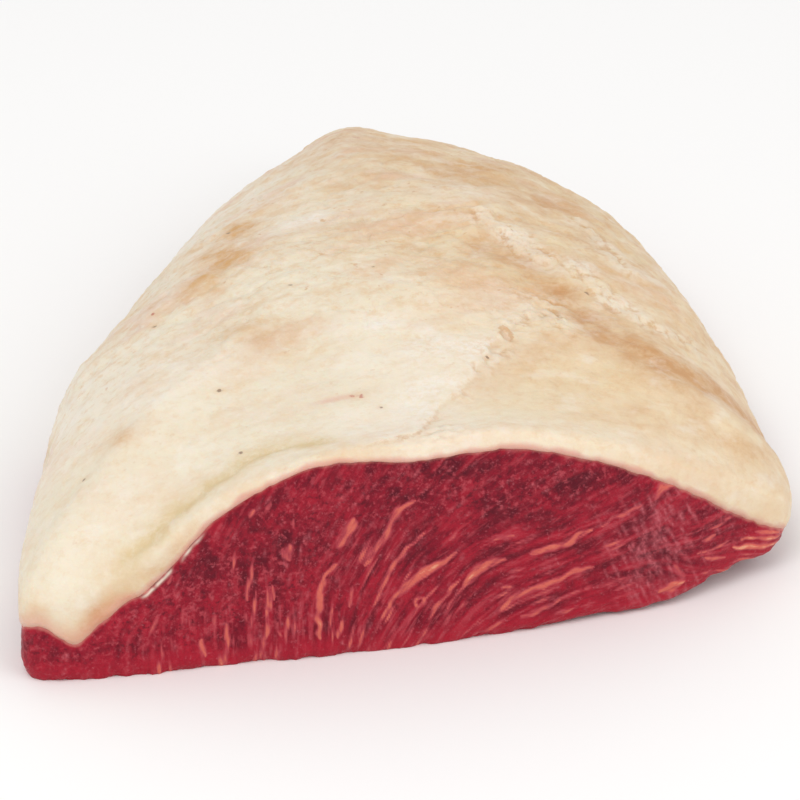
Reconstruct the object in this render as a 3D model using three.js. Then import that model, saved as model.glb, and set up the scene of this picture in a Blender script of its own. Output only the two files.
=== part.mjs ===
// A whole raw picanha, the triangular cap of a beef rump, lying fat side up.
// The wide end is a straight knife cut that shows the lean; the other two sides run back to a blunt tip.
//
// It is two pieces of tissue that meet over the whole top: the lean muscle and the cap of fat on it.
// Both are nested domes. Their outline is a closed curve through STATIONS, and every point of that outline has
// one vertical profile, from the crown over the middle of the cut, out to the outline and under to the table.
//
// Millimetres. X runs along the cut face, Y back to the tip, Z up, and the origin is under the middle of the
// object's box, on the table.

import * as THREE from "three";

// Driving dimensions
const CROWN = 57; // height of the fat's surface over MIDDLE
const MIDDLE = { x: -6, y: 100 }; // where the profiles start, seen from above
const FAT = 8.5; // thickness of the fat on the crown
const GAP = 0.3; // clearance kept between the fat and the lean
const RESTING_SHARE = 0.7; // share of the underside that lies flat on the table
const CALM_REACH = 4.5; // stations over which the edge's changes are evened out towards the middle
const CALM_POWER = 5; // how quickly they come back on the way out

// Two kinds of edge: a round flank that the fat wraps, and the square edge of the knife cut.
// A station's `face` says how far its profile has turned from the first kind into the second.
const FLANK = { power: 2.4, square: 0, inset: 3, belly: 9, undercut: 8 };
const CUT = { power: 20, square: 1, inset: 1.3, belly: 4, undercut: 2 };
const FLANK_FAT = 6; // drop from the fat's rim to the lean's rim on a flank
const CUT_SEAM = 0.3; // height of the lean's square edge above the hem on the cut

// The outline, from the left corner of the cut face round by the right and the tip.
// rim: height of the fat at the edge, before it is rounded off. hem: height where the fat ends.
// lift: gap between the table and the underside at the edge.
const STATIONS = [
  { x: -106, y: 1.5, rim: 23, hem: 12, lift: 0, face: 0.9 },
  { x: -84, y: -1.3, rim: 30, hem: 19, lift: 0, face: 1 },
  { x: -62, y: -1.3, rim: 47.5, hem: 40, lift: 0, face: 1 },
  { x: -40, y: -2.3, rim: 57, hem: 50.3, lift: 0, face: 1 },
  { x: -17, y: -2.3, rim: 58, hem: 49.5, lift: 0, face: 1 },
  { x: 6, y: -1.3, rim: 58, hem: 49.5, lift: 0, face: 1 },
  { x: 28, y: 0.7, rim: 51, hem: 42.5, lift: 1, face: 1 },
  { x: 48, y: 3.7, rim: 41, hem: 31.5, lift: 2, face: 1 },
  { x: 65, y: 10, rim: 30, hem: 18.5, lift: 5, face: 0.9 },
  { x: 79, y: 17, rim: 20, hem: 10, lift: 6, face: 0.6 },
  { x: 82, y: 44, rim: 26, hem: 11, lift: 6, face: 0 },
  { x: 84, y: 76, rim: 28, hem: 11, lift: 5, face: 0 },
  { x: 84, y: 108, rim: 29.5, hem: 10, lift: 4, face: 0 },
  { x: 82, y: 141, rim: 31, hem: 10, lift: 4, face: 0 },
  { x: 76, y: 173, rim: 32, hem: 11, lift: 4, face: 0 },
  { x: 61, y: 205, rim: 31.5, hem: 11, lift: 5, face: 0 },
  { x: 39, y: 228, rim: 30.5, hem: 12, lift: 6, face: 0 },
  { x: 14, y: 245, rim: 30, hem: 12, lift: 6, face: 0 },
  { x: -10, y: 222, rim: 30, hem: 11, lift: 5, face: 0 },
  { x: -33, y: 195, rim: 32, hem: 11, lift: 4, face: 0 },
  { x: -52, y: 161, rim: 33, hem: 10, lift: 4, face: 0 },
  { x: -71, y: 127, rim: 33.5, hem: 10, lift: 3, face: 0 },
  { x: -88, y: 94, rim: 34, hem: 10, lift: 3, face: 0 },
  { x: -96.5, y: 61, rim: 35, hem: 10, lift: 3, face: 0 },
  { x: -103, y: 32, rim: 31, hem: 11, lift: 2, face: 0.2 },
  { x: -107, y: 13, rim: 25, hem: 12, lift: 1, face: 0.6 },
];

// The fat hangs down in a tongue at the left end of the cut face, and its hem waves along the flanks.
const TONGUE = { x: -94, drop: 4, width: 7 };
const HEM_WAVE = { height: 1.3, turns: [9, 14] };

// Broad relief of the top: a valley across the right flank, a swell behind it, and slow lumps all over.
const VALLEY = { from: [30, 68], to: [84, 54], height: -1.6, width: 12 };
const SWELL = { from: [20, 108], to: [70, 94], height: 1.1, width: 13 };
const LUMPS = [
  { height: 0.45, length: 58, heading: 0.4, phase: 0.6 },
  { height: 0.3, length: 37, heading: 1.9, phase: 2.1 },
  { height: 0.2, length: 24, heading: 2.8, phase: 4.4 },
];
const RELIEF_FADE = [4, 30]; // the relief grows from nothing to full over this distance behind the cut face

// Mesh fineness
const COLUMNS_A_STATION = 4;
const SKIN_ROWS = 22;
const SEAM_ROWS = 11; // where fat and lean meet
const SIDE_ROWS = 8;
const UNDERSIDE = [0.96, 0.85, RESTING_SHARE, 0.35]; // rings of the underside, as shares of its edge
const FINE_STEPS = 90; // of a profile before it is resampled
const TURN_WORTH = { skin: 22, seam: 6 }; // rows gather at bends, as if a turn of one radian were this long

const mix = (a, b, t) => a + (b - a) * t;

function smoothstep(low, high, value) {
  const t = THREE.MathUtils.clamp((value - low) / (high - low), 0, 1);
  return t * t * (3 - 2 * t);
}

// One value of the closed uniform Catmull-Rom curve through the stations, at `along` stations from the first.
function splined(along, key) {
  const count = STATIONS.length;
  const start = Math.floor(along);
  const t = along - start;
  const [p0, p1, p2, p3] = [-1, 0, 1, 2].map((k) => STATIONS[(start + k + count) % count][key]);
  const cubic = 3 * p1 - p0 - 3 * p2 + p3;
  const square = 2 * p0 - 5 * p1 + 4 * p2 - p3;
  return 0.5 * (2 * p1 + (p2 - p0) * t + square * t * t + cubic * t * t * t);
}

// The same, as a bell-shaped average over the stations near that place.
function calmed(along, key) {
  let sum = 0;
  let weights = 0;
  STATIONS.forEach((station, i) => {
    const away = Math.abs(along - i);
    const stations = Math.min(away, STATIONS.length - away);
    const weight = Math.exp(-((stations / CALM_REACH) ** 2));
    sum += weight * station[key];
    weights += weight;
  });
  return sum / weights;
}

// The two layers' shape at one place of the outline: the fat's edge is rounded off, the lean's goes square.
function edgeShape(rim, hem, face) {
  const leanRim = mix(rim - FLANK_FAT, hem + CUT_SEAM, face);
  return {
    skin: { rim, power: mix(FLANK.power, CUT.power, face), square: 0 },
    lean: { rim: leanRim, power: FLANK.power, square: mix(FLANK.square, CUT.square, face) },
  };
}

// All that the profile at one place of the outline needs.
function columnAt(along) {
  const [x, y, rim, lift] = ["x", "y", "rim", "lift"].map((key) => splined(along, key));
  const face = THREE.MathUtils.clamp(splined(along, "face"), 0, 1);
  const turn = (2 * Math.PI * along) / STATIONS.length;
  const wave = HEM_WAVE.turns.reduce((sum, turns) => sum + Math.sin(turns * turn + turns), 0);
  const tongue = TONGUE.drop * face * Math.exp(-(((x - TONGUE.x) / TONGUE.width) ** 2));
  const hem = splined(along, "hem") - tongue + HEM_WAVE.height * wave * (1 - face);
  const reach = Math.hypot(x - MIDDLE.x, y - MIDDLE.y);
  const [calmRim, calmHem, calmFace] = ["rim", "hem", "face"].map((key) => calmed(along, key));
  return {
    hem,
    lift: Math.max(lift, 0),
    inset: mix(FLANK.inset, CUT.inset, face),
    belly: mix(FLANK.belly, CUT.belly, face),
    undercut: mix(FLANK.undercut, CUT.undercut, face),
    atEdge: edgeShape(rim, hem, face),
    inside: edgeShape(calmRim, calmHem, calmFace),
    reach,
    towards: [(x - MIDDLE.x) / reach, (y - MIDDLE.y) / reach],
  };
}

// Height of a soft-sided bank, or of a ditch where its height is negative, at a place seen from above.
function bank({ from, to, height, width }, x, y) {
  const start = new THREE.Vector2(...from);
  const run = new THREE.Vector2(...to).sub(start);
  const here = new THREE.Vector2(x, y).sub(start);
  const t = THREE.MathUtils.clamp(here.dot(run) / run.lengthSq(), 0, 1);
  const off = here.sub(run.multiplyScalar(t)).length();
  return height * Math.exp(-((off / width) ** 2));
}

function relief(x, y) {
  let height = bank(VALLEY, x, y) + bank(SWELL, x, y);
  for (const lump of LUMPS) {
    const along = x * Math.cos(lump.heading) + y * Math.sin(lump.heading);
    height += lump.height * Math.sin((2 * Math.PI * along) / lump.length + lump.phase);
  }
  return height * smoothstep(...RELIEF_FADE, y);
}

// A profile as points (distance from the middle, height): over the top to the widest line, then under to the
// bottom edge. The upper part is a superellipse below a ceiling that falls from the crown to the rim.
function profile(column, layer) {
  const crown = layer === "skin" ? CROWN : CROWN - FAT;
  const reach = layer === "skin" ? column.reach : column.reach - column.inset;
  const [edge, inside] = [column.atEdge[layer], column.inside[layer]];
  const waist = column.lift + column.belly;
  const points = [];
  for (let i = 0; i <= FINE_STEPS; i++) {
    const out = 1 - (1 - i / FINE_STEPS) ** 2;
    const [rim, power, square] = ["rim", "power", "square"].map((key) =>
      mix(inside[key], edge[key], out ** CALM_POWER),
    );
    const up = mix((1 - out ** power) ** (1 / power), 1, square);
    const r = out * reach;
    const bumps = relief(MIDDLE.x + column.towards[0] * r, MIDDLE.y + column.towards[1] * r);
    const ceiling = crown + (rim - crown) * out * out + bumps;
    points.push(new THREE.Vector2(r, waist + (ceiling - waist) * up));
  }
  const underSteps = FINE_STEPS / 3;
  for (let i = 1; i <= underSteps; i++) {
    const angle = (i / underSteps) * (Math.PI / 2);
    const r = reach - column.undercut * (1 - Math.cos(angle));
    points.push(new THREE.Vector2(r, waist - column.belly * Math.sin(angle)));
  }
  return points;
}

// The profile above and below the height where the fat ends. The cut is made on the outer, falling side.
function splitAtHem(points, hem) {
  let last = points.length - 1;
  while (last > 1 && points[last - 1].y < hem) last -= 1;
  const [above, below] = [points[last - 1], points[last]];
  const cut = above.clone().lerp(below, (above.y - hem) / (above.y - below.y));
  return [[...points.slice(0, last), cut], [cut, ...points.slice(last)]];
}

// `count` + 1 points along a polyline, evenly spaced by length, with a bend counted as extra length.
function resample(points, count, turnWorth) {
  const measure = [0];
  for (let i = 1; i < points.length; i++) {
    const step = points[i].clone().sub(points[i - 1]);
    const next = points[Math.min(i + 1, points.length - 1)].clone().sub(points[i]);
    const turn = next.lengthSq() && step.lengthSq() ? Math.abs(Math.acos(
      THREE.MathUtils.clamp(step.dot(next) / (step.length() * next.length()), -1, 1))) : 0;
    measure.push(measure[i - 1] + step.length() + turnWorth * turn);
  }
  const total = measure[measure.length - 1];
  const result = [];
  let i = 1;
  for (let k = 0; k <= count; k++) {
    const wanted = (total * k) / count;
    while (i < measure.length - 1 && measure[i] < wanted) i += 1;
    const t = (wanted - measure[i - 1]) / (measure[i] - measure[i - 1]);
    result.push(points[i - 1].clone().lerp(points[i], THREE.MathUtils.clamp(t, 0, 1)));
  }
  return result;
}

// The same points moved outwards, square to the polyline.
function offset(points, distance) {
  return points.map((point, i) => {
    const before = points[Math.max(i - 1, 0)];
    const after = points[Math.min(i + 1, points.length - 1)];
    const along = after.clone().sub(before).normalize();
    const out = i === 0 ? new THREE.Vector2(0, 1) : new THREE.Vector2(-along.y, along.x);
    return point.clone().addScaledVector(out, distance);
  });
}

// A closed mesh from one polyline for each column. All of them start and end on the axis through MIDDLE.
// From the row `returning` on, the rows run back inwards, and there each four-sided patch is split the other
// way, so that the two faces of the seam between fat and lean have the same facets.
function closedDome(columns, polylines, returning = Infinity) {
  const rings = polylines[0].length - 2;
  const positions = [];
  const place = (column, point) =>
    positions.push(
      MIDDLE.x + column.towards[0] * point.x,
      MIDDLE.y + column.towards[1] * point.x,
      point.y,
    );
  place(columns[0], new THREE.Vector2(0, polylines[0][0].y));
  for (let ring = 1; ring <= rings; ring++) columns.forEach((column, c) => place(column, polylines[c][ring]));
  place(columns[0], new THREE.Vector2(0, polylines[0][rings + 1].y));
  const end = positions.length / 3 - 1;
  const at = (ring, c) => 1 + ring * columns.length + (c % columns.length);
  const faces = [];
  for (let c = 0; c < columns.length; c++) {
    faces.push(0, at(0, c), at(0, c + 1));
    for (let ring = 0; ring < rings - 1; ring++) {
      const patch = [at(ring, c), at(ring + 1, c), at(ring + 1, c + 1), at(ring, c + 1)];
      if (ring + 1 >= returning) patch.push(patch.shift());
      const [p, q, r, s] = patch;
      faces.push(p, q, r, p, r, s);
    }
    faces.push(at(rings - 1, c), end, at(rings - 1, c + 1));
  }
  const geometry = new THREE.BufferGeometry();
  geometry.setAttribute("position", new THREE.Float32BufferAttribute(positions, 3));
  geometry.setIndex(faces);
  geometry.computeVertexNormals();
  return geometry;
}

// The lean: its hidden top under the fat, the cut face or flank below the hem, and the underside.
function leanLine(column) {
  const [hidden, open] = splitAtHem(profile(column, "lean"), column.hem);
  const side = resample(open, SIDE_ROWS, TURN_WORTH.skin);
  const edge = side[SIDE_ROWS];
  const underside = UNDERSIDE.map((share) => {
    const rise = smoothstep(RESTING_SHARE, 1, share) * column.lift;
    return new THREE.Vector2(edge.x * share, rise);
  });
  return [...resample(hidden, SEAM_ROWS, TURN_WORTH.seam), ...side.slice(1), ...underside, new THREE.Vector2(0, 0)];
}

// The fat: its skin from the crown to the hem, then back along the lean, GAP away from it.
function fatLine(column) {
  const [skin] = splitAtHem(profile(column, "skin"), column.hem);
  const [hidden] = splitAtHem(profile(column, "lean"), column.hem);
  const seam = offset(resample(hidden, SEAM_ROWS, TURN_WORTH.seam), GAP);
  return [...resample(skin, SKIN_ROWS, TURN_WORTH.skin), ...seam.reverse()];
}

function piece(name, columns, line, material, returning) {
  const mesh = new THREE.Mesh(closedDome(columns, columns.map(line), returning), material);
  mesh.name = name;
  return mesh;
}

const columnCount = STATIONS.length * COLUMNS_A_STATION;
const columns = Array.from({ length: columnCount }, (_, c) => columnAt(c / COLUMNS_A_STATION));
const leanMaterial = new THREE.MeshStandardMaterial({ color: 0x9c1f33, roughness: 0.45, metalness: 0 });
const fatMaterial = new THREE.MeshStandardMaterial({ color: 0xeddcc0, roughness: 0.5, metalness: 0 });

const picanha = new THREE.Group();
picanha.add(piece("lean", columns, leanLine, leanMaterial));
picanha.add(piece("fat_cap", columns, fatLine, fatMaterial, SKIN_ROWS + 1));
const middleOfBox = new THREE.Box3().setFromObject(picanha).getCenter(new THREE.Vector3());
picanha.position.set(-middleOfBox.x, -middleOfBox.y, 0);

export default picanha;
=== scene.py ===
"""The looks of a whole raw picanha: a cap of cream fat over dark red lean, with a straight cut in front.

Both pieces have the solids' form, computed again at a finer pitch, with small relief and colours added.
Lengths are millimetres until a mesh is made. The working frame's zero is near the middle of the cut face.
"""

import itertools
import math

import bpy
import numpy as np
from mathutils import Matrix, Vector


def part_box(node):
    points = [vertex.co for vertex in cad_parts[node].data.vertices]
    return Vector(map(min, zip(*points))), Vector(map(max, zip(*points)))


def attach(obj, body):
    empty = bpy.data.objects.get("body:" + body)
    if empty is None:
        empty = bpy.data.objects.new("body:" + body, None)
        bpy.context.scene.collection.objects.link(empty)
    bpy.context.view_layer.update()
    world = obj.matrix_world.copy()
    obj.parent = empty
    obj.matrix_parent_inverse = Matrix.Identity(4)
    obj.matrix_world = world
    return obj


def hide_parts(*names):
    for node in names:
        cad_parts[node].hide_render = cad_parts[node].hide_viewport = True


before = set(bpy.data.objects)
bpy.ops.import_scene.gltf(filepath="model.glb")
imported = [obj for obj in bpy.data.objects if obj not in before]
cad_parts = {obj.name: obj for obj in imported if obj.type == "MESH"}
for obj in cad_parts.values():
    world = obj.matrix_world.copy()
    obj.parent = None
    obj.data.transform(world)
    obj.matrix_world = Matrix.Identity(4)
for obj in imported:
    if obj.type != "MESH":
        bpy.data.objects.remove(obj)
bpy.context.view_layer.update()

MM = 0.001

# ---- the body's form, as in the solids

CROWN = 57
MIDDLE = np.array([-6.0, 100.0])
FAT = 8.5
RESTING_SHARE = 0.7
CALM_REACH = 4.5
CALM_POWER = 5
FLANK = {"power": 2.4, "square": 0, "inset": 3, "belly": 9, "undercut": 8}
CUT = {"power": 20, "square": 1, "inset": 1.3, "belly": 4, "undercut": 2}
FLANK_FAT = 6
CUT_SEAM = 0.3
STATION_KEYS = ("x", "y", "rim", "hem", "lift", "face")
STATIONS = np.array([
    (-106, 1.5, 23, 12, 0, 0.9),
    (-84, -1.3, 30, 19, 0, 1),
    (-62, -1.3, 47.5, 40, 0, 1),
    (-40, -2.3, 57, 50.3, 0, 1),
    (-17, -2.3, 58, 49.5, 0, 1),
    (6, -1.3, 58, 49.5, 0, 1),
    (28, 0.7, 51, 42.5, 1, 1),
    (48, 3.7, 41, 31.5, 2, 1),
    (65, 10, 30, 18.5, 5, 0.9),
    (79, 17, 20, 10, 6, 0.6),
    (82, 44, 26, 11, 6, 0),
    (84, 76, 28, 11, 5, 0),
    (84, 108, 29.5, 10, 4, 0),
    (82, 141, 31, 10, 4, 0),
    (76, 173, 32, 11, 4, 0),
    (61, 205, 31.5, 11, 5, 0),
    (39, 228, 30.5, 12, 6, 0),
    (14, 245, 30, 12, 6, 0),
    (-10, 222, 30, 11, 5, 0),
    (-33, 195, 32, 11, 4, 0),
    (-52, 161, 33, 10, 4, 0),
    (-71, 127, 33.5, 10, 3, 0),
    (-88, 94, 34, 10, 3, 0),
    (-96.5, 61, 35, 10, 3, 0),
    (-103, 32, 31, 11, 2, 0.2),
    (-107, 13, 25, 12, 1, 0.6),
], float)
TONGUE = {"x": -94, "drop": 4, "width": 7}
HEM_WAVE = {"height": 1.3, "turns": (9, 14)}
VALLEY = {"line": ((30, 68), (84, 54)), "height": -1.6, "width": 12}
SWELL = {"line": ((20, 108), (70, 94)), "height": 1.1, "width": 13}
LUMPS = (
    {"height": 0.45, "length": 58, "heading": 0.4, "phase": 0.6},
    {"height": 0.3, "length": 37, "heading": 1.9, "phase": 2.1},
    {"height": 0.2, "length": 24, "heading": 2.8, "phase": 4.4},
)
RELIEF_FADE = (4, 30)


def mix(a, b, t):
    return a + (b - a) * t


def smoothstep(low, high, value):
    t = np.clip((value - low) / (high - low), 0, 1)
    return t * t * (3 - 2 * t)


def bell(*offs):
    """1 where all the offsets are 0, and falling off smoothly round it."""
    return np.exp(-sum(off**2 for off in offs))


def station(key):
    return STATIONS[:, STATION_KEYS.index(key)]


def closed_curve(values, along):
    """A closed uniform Catmull-Rom curve through the values, at `along` stations from the first."""
    count = len(values)
    start = np.floor(along).astype(int)
    t = along - start
    p0, p1, p2, p3 = (values[(start + k) % count] for k in (-1, 0, 1, 2))
    square = 2 * p0 - 5 * p1 + 4 * p2 - p3
    cubic = 3 * p1 - p0 - 3 * p2 + p3
    return 0.5 * (2 * p1 + (p2 - p0) * t + square * t**2 + cubic * t**3)


def calmed(values, along):
    """The same, as a bell-shaped average over the stations near that place."""
    count = len(values)
    away = np.abs(along[:, None] - np.arange(count))
    weight = bell(np.minimum(away, count - away) / CALM_REACH)
    return weight @ values / weight.sum(1)


def edge_shape(rim, hem, face):
    lean_rim = mix(rim - FLANK_FAT, hem + CUT_SEAM, face)
    round_power = np.full_like(rim, FLANK["power"])
    return {
        "skin": (rim, mix(FLANK["power"], CUT["power"], face), np.zeros_like(rim)),
        "lean": (lean_rim, round_power, mix(FLANK["square"], CUT["square"], face)),
    }


def columns_at(along):
    """All that the profiles at those places of the outline need, one value for each place."""
    x, y, rim, lift = (closed_curve(station(key), along) for key in ("x", "y", "rim", "lift"))
    face = np.clip(closed_curve(station("face"), along), 0, 1)
    turn = 2 * math.pi * along / len(STATIONS)
    wave = sum(np.sin(turns * turn + turns) for turns in HEM_WAVE["turns"])
    tongue = TONGUE["drop"] * face * bell((x - TONGUE["x"]) / TONGUE["width"])
    hem = closed_curve(station("hem"), along) - tongue + HEM_WAVE["height"] * wave * (1 - face)
    calm = [calmed(station(key), along) for key in ("rim", "hem", "face")]
    reach = np.hypot(x - MIDDLE[0], y - MIDDLE[1])
    return {
        "x": x,
        "face": face,
        "hem": hem,
        "ragged": raggedness(x, y, face),
        "lift": np.maximum(lift, 0),
        "inset": mix(FLANK["inset"], CUT["inset"], face),
        "belly": mix(FLANK["belly"], CUT["belly"], face),
        "undercut": mix(FLANK["undercut"], CUT["undercut"], face),
        "edge": edge_shape(rim, hem, face),
        "inside": edge_shape(*calm),
        "reach": reach,
        "towards": np.stack([(x - MIDDLE[0]) / reach, (y - MIDDLE[1]) / reach], -1),
    }


def near_line(points, x, y):
    """Distance to a polyline seen from above, its side (positive on the left) and how far along it is."""
    best = np.full(np.shape(x), np.inf)
    side = np.zeros(np.shape(x))
    along = np.zeros(np.shape(x))
    done = 0
    for (x0, y0), (x1, y1) in zip(points, points[1:]):
        dx, dy = x1 - x0, y1 - y0
        length = math.hypot(dx, dy)
        t = np.clip(((x - x0) * dx + (y - y0) * dy) / length**2, 0, 1)
        off = np.hypot(x - x0 - t * dx, y - y0 - t * dy)
        closer = off < best
        best = np.where(closer, off, best)
        side = np.where(closer, np.sign(dx * (y - y0) - dy * (x - x0)), side)
        along = np.where(closer, done + t * length, along)
        done += length
    return best, side, along / done


def spots(places, x, y):
    """The sum of soft spots, each at (x, y) with its reach along both axes and perhaps a strength."""
    total = np.zeros_like(x)
    for (cx, cy), (rx, ry), *strength in places:
        total += (strength[0] if strength else 1) * bell((x - cx) / rx, (y - cy) / ry)
    return total


def bank(form, x, y):
    off, _, _ = near_line(form["line"], x, y)
    return form["height"] * bell(off / form["width"])


def relief(x, y):
    height = bank(VALLEY, x, y) + bank(SWELL, x, y)
    for lump in LUMPS:
        along = x * math.cos(lump["heading"]) + y * math.sin(lump["heading"])
        height = height + lump["height"] * np.sin(2 * math.pi * along / lump["length"] + lump["phase"])
    return height * smoothstep(*RELIEF_FADE, y)


def profiles(columns, layer, steps=240):
    """Distance from the middle and height, over the top to the widest line and under to the bottom edge."""
    is_skin = layer == "skin"
    crown = CROWN if is_skin else CROWN - FAT
    reach = (columns["reach"] if is_skin else columns["reach"] - columns["inset"])[:, None]
    waist = (columns["lift"] + columns["belly"])[:, None]
    out = (1 - (1 - np.linspace(0, 1, steps + 1)) ** 2)[None, :]
    rim, power, square = (
        mix(inside[:, None], edge[:, None], out**CALM_POWER)
        for inside, edge in zip(columns["inside"][layer], columns["edge"][layer])
    )
    up = mix((1 - out**power) ** (1 / power), 1, square)
    r = out * reach
    towards = columns["towards"]
    bumps = relief(MIDDLE[0] + towards[:, :1] * r, MIDDLE[1] + towards[:, 1:] * r)
    ceiling = crown + (rim - crown) * out**2 + bumps
    z = waist + (ceiling - waist) * up
    angle = np.linspace(0, math.pi / 2, steps // 3 + 1)[None, 1:]
    under_r = reach - columns["undercut"][:, None] * (1 - np.cos(angle))
    under_z = waist - columns["belly"][:, None] * np.sin(angle)
    return np.concatenate([r, under_r], 1), np.concatenate([z, under_z], 1)


def split_at_hem(r, z, hem):
    """One profile, above and below the height where the fat ends, cut on its outer, falling side."""
    last = len(z) - 1
    while last > 1 and z[last - 1] < hem:
        last -= 1
    t = np.clip((z[last - 1] - hem) / max(z[last - 1] - z[last], 1e-6), 0, 1)
    cut = [mix(r[last - 1], r[last], t), mix(z[last - 1], z[last], t)]
    above = np.vstack([np.stack([r[:last], z[:last]], -1), cut])
    below = np.vstack([cut, np.stack([r[last:], z[last:]], -1)])
    return above, below


def resample(points, count, turn_worth):
    """count + 1 points, evenly spaced by length, with a bend counted as extra length."""
    step = np.diff(points, axis=0)
    length = np.hypot(*step.T)
    heading = np.unwrap(np.arctan2(step[:, 1], step[:, 0]))
    turn = np.abs(np.diff(heading, append=heading[-1]))
    measure = np.concatenate([[0], np.cumsum(length + turn_worth * turn)])
    wanted = np.linspace(0, measure[-1], count + 1)
    return np.stack([np.interp(wanted, measure, points[:, k]) for k in (0, 1)], -1)


def offset(points, distance):
    """The same points moved outwards, square to the polyline."""
    along = np.gradient(points, axis=0)
    along /= np.maximum(np.hypot(*along.T), 1e-9)[:, None]
    out = np.stack([-along[:, 1], along[:, 0]], -1)
    out[0] = (0, 1)
    return points + distance * out


# ---- noise


def axes(points):
    return np.moveaxis(points, -1, 0)


def lattice(ix, iy, iz, seed):
    """A fixed random number from -1 to 1 for each corner of a grid of cells."""
    n = (ix * 73856093) ^ (iy * 19349663) ^ (iz * 83492791) ^ (seed * 2654435761)
    n = n & 0xFFFFFFFF
    n = ((n ^ (n >> 13)) * 1274126177) & 0xFFFFFFFF
    n = n ^ (n >> 16)
    return (n & 0xFFFFFF) / 0x7FFFFF - 1


def noise(points, size, seed, stretch=(1, 1, 1)):
    """Smooth noise from -1 to 1 at points (..., 3). `stretch` makes its features longer along an axis."""
    p = points / (size * np.array(stretch, float))
    cell = np.floor(p).astype(np.int64)
    f = p - cell
    u = f * f * (3 - 2 * f)
    total = np.zeros(p.shape[:-1])
    for corner in itertools.product((0, 1), repeat=3):
        weight = 1
        for axis, d in enumerate(corner):
            weight = weight * (u[..., axis] if d else 1 - u[..., axis])
        total += weight * lattice(*axes(cell + corner), seed)
    return total


def fractal(points, size, seed, octaves=4, stretch=(1, 1, 1)):
    return sum(noise(points, size / 2**k, seed + k, stretch) / 2**k for k in range(octaves)) / 1.6


# ---- meshes

STRAY_REACH = 4.5
HEM_RISES = (  # beside and under the tongue of fat at the left corner
    {"x": -86, "width": 4.5, "height": 2.2},
    {"x": -91.5, "width": 3, "height": 2},
    {"x": -97, "width": 3, "height": -1.3},
    {"x": -105, "width": 4, "height": 2.8},
)


def polar_grid(columns, lines):
    """Points (rows, columns, 3) from one line for each column, without the two ends on the axis."""
    lines = np.array(lines)
    towards = columns["towards"][:, None, :]
    flat = MIDDLE + towards * lines[:, :, :1]
    return np.concatenate([flat, lines[:, :, 1:]], -1).transpose(1, 0, 2)


def grid_normals(grid):
    down = np.gradient(grid, axis=0)
    wrapped = np.concatenate([grid[:, -1:], grid, grid[:, :1]], 1)
    round_about = (wrapped[:, 2:] - wrapped[:, :-2]) / 2
    normal = np.cross(down, round_about)
    return normal / np.maximum(np.linalg.norm(normal, axis=-1, keepdims=True), 1e-9)


def dome_mesh(name, grid, attributes, shift):
    """A closed mesh. The grid's first and last row shrink to a point; attributes are (rows, columns)."""
    rows, count = grid.shape[:2]
    inner = grid[1:-1].reshape(-1, 3)
    vertices = np.vstack([grid[0].mean(0), inner, grid[-1].mean(0)])
    last = len(vertices) - 1
    index = 1 + np.arange((rows - 2) * count).reshape(rows - 2, count)
    after = np.roll(index, -1, axis=1)
    quads = np.stack([index[:-1], index[1:], after[1:], after[:-1]], -1).reshape(-1, 4)
    top = [(0, int(a), int(b)) for a, b in zip(index[0], after[0])]
    bottom = [(int(a), last, int(b)) for a, b in zip(index[-1], after[-1])]
    mesh = bpy.data.meshes.new(name)
    mesh.from_pydata(((vertices + shift) * MM).tolist(), [], top + quads.tolist() + bottom)
    mesh.polygons.foreach_set("use_smooth", np.ones(len(mesh.polygons), bool))
    for key, values in attributes.items():
        flat = np.concatenate([[values[0].mean()], values[1:-1].ravel(), [values[-1].mean()]])
        mesh.attributes.new(key, "FLOAT", "POINT").data.foreach_set("value", flat.astype(np.float32))
    piece = bpy.data.objects.new(name, mesh)
    bpy.context.scene.collection.objects.link(piece)
    return piece


def spread_columns(front, rest):
    """Places on the outline, closer together along the cut face than along the flanks."""
    cut_ends = (-0.9, 9.6)
    count = len(STATIONS)
    face = np.linspace(*cut_ends, front, endpoint=False)
    flanks = np.linspace(cut_ends[1], cut_ends[0] + count, rest, endpoint=False)
    return np.concatenate([face, flanks]) % count


def raggedness(x, y, face):
    """How far the line where the fat ends strays up or down."""
    points = np.stack([x, y, np.zeros_like(x)], -1)
    broad = fractal(points, 9, 11, 3)
    fine = noise(points, 1.6, 17)
    raised = sum(rise["height"] * bell((x - rise["x"]) / rise["width"]) for rise in HEM_RISES)
    return mix(1.3 * broad + 0.35 * fine, 0.4 * broad + 0.25 * fine + raised, face)


def strayed(line, hem_point, ragged):
    """The line with its part near the hem moved up or down."""
    away = np.hypot(*(line - hem_point).T)
    line[:, 1] += ragged * bell(away / STRAY_REACH)
    return line


# ---- the cut face

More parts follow.
